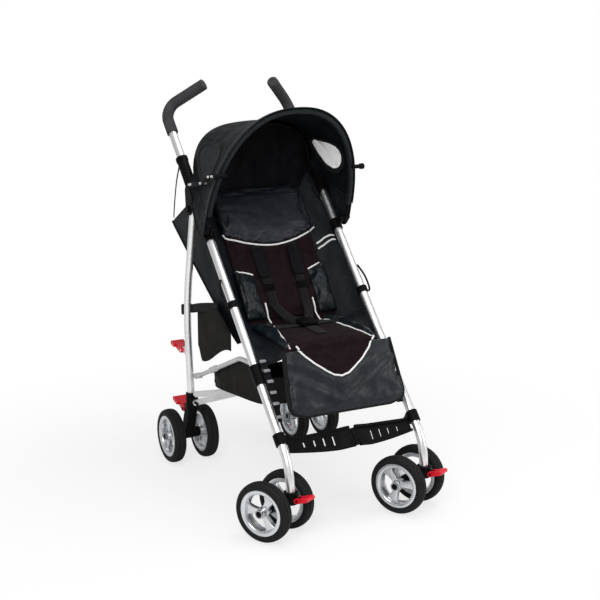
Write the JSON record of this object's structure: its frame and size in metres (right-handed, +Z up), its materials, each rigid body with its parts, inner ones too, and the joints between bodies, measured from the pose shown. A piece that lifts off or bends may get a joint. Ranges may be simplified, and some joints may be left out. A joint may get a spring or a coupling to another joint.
{
  "type": "umbrella stroller",
  "caption": "Folding umbrella stroller with two bent handles, twin-wheel swivel casters, hood, padded reclining seat, leg rest, footrest and basket.",
  "frame": {"origin": "on the floor, at the centre of the stroller's bounding box with the casters as pictured", "axes": "+Z up, -Y the way the child faces, +X the child's left"},
  "size_m": [0.563, 0.8061, 1.0505],
  "materials": {
    "aluminium": "satin",
    "steel": "satin",
    "black_plastic": "moulded",
    "red_plastic": "moulded",
    "rim_plastic": "silver paint",
    "tyre": "matte",
    "foam": "foam",
    "shell_cloth": "coated nylon",
    "pad_cloth": "woven",
    "webbing": "webbing"
  },
  "bodies": {
    "frame_right": {"front_leg_right": "aluminium", "push_tube_right": "aluminium", "grip_right": "foam", "joint_housing_right": "black_plastic", "hood_clip_right": "black_plastic", "leg_collar_right": "black_plastic", "seat_pad": "pad_cloth", "side_wings": "shell_cloth", "basket": "shell_cloth", "hood_canopy": "shell_cloth", "hood_rear_bow": "black_plastic", "harness": "webbing", "buckle": "black_plastic"},
    "frame_left": {"front_leg_left": "aluminium", "push_tube_left": "aluminium", "grip_left": "foam", "joint_housing_left": "black_plastic", "hood_clip_left": "black_plastic", "leg_collar_left": "black_plastic"},
    "rear_right": {"rear_leg_right": "aluminium", "rear_bracket_right": "black_plastic", "rear_axle_right": "steel"},
    "rear_left": {"rear_leg_left": "aluminium", "rear_bracket_left": "black_plastic", "rear_axle_left": "steel"},
    "brace_a": {"brace_a": "aluminium"},
    "brace_b": {"brace_b": "aluminium"},
    "side_link_right": {"side_link_right": "aluminium"},
    "side_link_left": {"side_link_left": "aluminium"},
    "footrest_right": {"footrest_right": "black_plastic"},
    "footrest_left": {"footrest_left": "black_plastic"},
    "fold_lever": {"fold_lever": "red_plastic"},
    "hood": {"hood_bow": "black_plastic"},
    "backrest": {"backrest_pad": "pad_cloth", "back_cover": "shell_cloth"},
    "leg_rest": {"leg_rest": "shell_cloth"},
    "caster_right": {"caster_fork_right": "black_plastic", "caster_axle_right": "steel"},
    "swivel_lock_right": {"swivel_lock_right": "red_plastic"},
    "brake_right": {"brake_pedal_right": "red_plastic"},
    "wheel_fr_out": {"tyre_fr_out": "tyre", "rim_fr_out": "rim_plastic"},
    "wheel_fr_in": {"tyre_fr_in": "tyre", "rim_fr_in": "rim_plastic"},
    "wheel_rr_out": {"tyre_rr_out": "tyre", "rim_rr_out": "rim_plastic"},
    "wheel_rr_in": {"tyre_rr_in": "tyre", "rim_rr_in": "rim_plastic"},
    "caster_left": {"caster_fork_left": "black_plastic", "caster_axle_left": "steel"},
    "swivel_lock_left": {"swivel_lock_left": "red_plastic"},
    "brake_left": {"brake_pedal_left": "red_plastic"},
    "wheel_fl_out": {"tyre_fl_out": "tyre", "rim_fl_out": "rim_plastic"},
    "wheel_fl_in": {"tyre_fl_in": "tyre", "rim_fl_in": "rim_plastic"},
    "wheel_rl_out": {"tyre_rl_out": "tyre", "rim_rl_out": "rim_plastic"},
    "wheel_rl_in": {"tyre_rl_in": "tyre", "rim_rl_in": "rim_plastic"}
  },
  "joints": [
    {"name": "frame_fold", "type": "hinge", "parent": "frame_right", "child": "rear_right", "pos_m": [-0.17199, 0.20835, 0.72149], "axis": [-1, 0, 0], "range_deg": [0, 44], "deforming": ["seat_pad", "side_wings", "back_cover", "basket", "hood_canopy", "hood_rear_bow", "hood_bow", "backrest_pad", "leg_rest", "harness", "buckle"]},
    {"name": "brace_a_swing", "type": "hinge", "parent": "rear_right", "child": "brace_a", "pos_m": [-0.16949, 0.2228, 0.178], "axis": [0, -1, 0], "range_deg": [0, 60]},
    {"name": "brace_b_swing", "type": "hinge", "parent": "brace_a", "child": "brace_b", "pos_m": [0.01951, 0.2228, 0.19122], "axis": [0, -1, 0], "range_deg": [-120, 0]},
    {"name": "rear_left_swing", "type": "hinge", "parent": "brace_b", "child": "rear_left", "pos_m": [0.20851, 0.2228, 0.178], "axis": [0, -1, 0], "range_deg": [0, 60]},
    {"name": "frame_fold_left", "type": "hinge", "parent": "rear_left", "child": "frame_left", "pos_m": [0.21101, 0.20835, 0.72149], "axis": [-1, 0, 0], "range_deg": [-45, 0]},
    {"name": "side_link_right_swing", "type": "hinge", "parent": "frame_right", "child": "side_link_right", "pos_m": [-0.14649, -0.1462, 0.372], "axis": [1, 0, 0], "range_deg": [0, 63]},
    {"name": "side_link_left_swing", "type": "hinge", "parent": "frame_left", "child": "side_link_left", "pos_m": [0.18551, -0.1462, 0.372], "axis": [1, 0, 0], "range_deg": [0, 63]},
    {"name": "footrest_right_swing", "type": "hinge", "parent": "frame_right", "child": "footrest_right", "pos_m": [-0.16949, -0.28863, 0.23348], "axis": [0, -0.6858, -0.7278], "range_deg": [0, 60]},
    {"name": "footrest_left_swing", "type": "hinge", "parent": "footrest_right", "child": "footrest_left", "pos_m": [0.01951, -0.29825, 0.24255], "axis": [0, -0.6858, -0.7278], "range_deg": [-120, 0]},
    {"name": "caster_right_swivel", "type": "hinge", "parent": "frame_right", "child": "caster_right", "pos_m": [-0.16949, -0.3432, 0.12], "axis": [0, 0, 1], "continuous": true},
    {"name": "wheel_fr_out_spin", "type": "hinge", "parent": "caster_right", "child": "wheel_fr_out", "pos_m": [-0.23368, -0.32847, 0.075], "axis": [0.8746, 0.4848, 0], "continuous": true},
    {"name": "wheel_rr_out_spin", "type": "hinge", "parent": "rear_right", "child": "wheel_rr_out", "pos_m": [-0.22099, 0.2785, 0.075], "axis": [1, 0, 0], "continuous": true},
    {"name": "wheel_fr_in_spin", "type": "hinge", "parent": "caster_right", "child": "wheel_fr_in", "pos_m": [-0.14796, -0.28096, 0.075], "axis": [0.8746, 0.4848, 0], "continuous": true},
    {"name": "wheel_rr_in_spin", "type": "hinge", "parent": "rear_right", "child": "wheel_rr_in", "pos_m": [-0.12299, 0.2785, 0.075], "axis": [1, 0, 0], "continuous": true},
    {"name": "swivel_lock_right_tilt", "type": "hinge", "parent": "caster_right", "child": "swivel_lock_right", "pos_m": [-0.15785, -0.36419, 0.103], "axis": [0.8746, 0.4848, 0], "range_deg": [0, 18]},
    {"name": "brake_right_press", "type": "hinge", "parent": "rear_right", "child": "brake_right", "pos_m": [-0.17199, 0.2845, 0.147], "axis": [-1, 0, 0], "range_deg": [0, 16]},
    {"name": "caster_left_swivel", "type": "hinge", "parent": "frame_left", "child": "caster_left", "pos_m": [0.20851, -0.3432, 0.12], "axis": [0, 0, 1], "continuous": true},
    {"name": "wheel_fl_out_spin", "type": "hinge", "parent": "caster_left", "child": "wheel_fl_out", "pos_m": [0.23004, -0.28096, 0.075], "axis": [0.8746, 0.4848, 0], "continuous": true},
    {"name": "wheel_rl_out_spin", "type": "hinge", "parent": "rear_left", "child": "wheel_rl_out", "pos_m": [0.26001, 0.2785, 0.075], "axis": [1, 0, 0], "continuous": true},
    {"name": "wheel_fl_in_spin", "type": "hinge", "parent": "caster_left", "child": "wheel_fl_in", "pos_m": [0.14432, -0.32847, 0.075], "axis": [0.8746, 0.4848, 0], "continuous": true},
    {"name": "wheel_rl_in_spin", "type": "hinge", "parent": "rear_left", "child": "wheel_rl_in", "pos_m": [0.16201, 0.2785, 0.075], "axis": [1, 0, 0], "continuous": true},
    {"name": "swivel_lock_left_tilt", "type": "hinge", "parent": "caster_left", "child": "swivel_lock_left", "pos_m": [0.22015, -0.36419, 0.103], "axis": [0.8746, 0.4848, 0], "range_deg": [0, 18]},
    {"name": "brake_left_press", "type": "hinge", "parent": "rear_left", "child": "brake_left", "pos_m": [0.21101, 0.2845, 0.147], "axis": [-1, 0, 0], "range_deg": [0, 16]},
    {"name": "fold_lever_lift", "type": "hinge", "parent": "rear_right", "child": "fold_lever", "pos_m": [-0.17199, 0.29129, 0.31386], "axis": [1, 0, 0], "range_deg": [0, 22]},
    {"name": "hood_fold", "type": "hinge", "parent": "frame_right", "child": "hood", "pos_m": [0.01951, 0.0928, 0.68199], "axis": [-1, 0, 0], "range_deg": [0, 42]},
    {"name": "backrest_recline", "type": "hinge", "parent": "frame_right", "child": "backrest", "pos_m": [0.01951, 0.0058, 0.43], "axis": [-1, 0, 0], "range_deg": [0, 18]},
    {"name": "leg_rest_lift", "type": "hinge", "parent": "frame_right", "child": "leg_rest", "pos_m": [0.01951, -0.2222, 0.43], "axis": [-1, 0, 0], "range_deg": [0, 45]}
  ],
  "couplings": [
    {"joint": "brace_a_swing", "follows": "frame_fold", "ratio": 1.2224},
    {"joint": "brace_b_swing", "follows": "frame_fold", "ratio": -2.4448},
    {"joint": "rear_left_swing", "follows": "frame_fold", "ratio": 1.2224},
    {"joint": "frame_fold_left", "follows": "frame_fold", "ratio": -1},
    {"joint": "side_link_right_swing", "follows": "frame_fold", "ratio": 1.4091},
    {"joint": "side_link_left_swing", "follows": "frame_fold", "ratio": 1.4091},
    {"joint": "footrest_right_swing", "follows": "frame_fold", "ratio": 1.2224},
    {"joint": "footrest_left_swing", "follows": "frame_fold", "ratio": -2.4448}
  ]
}
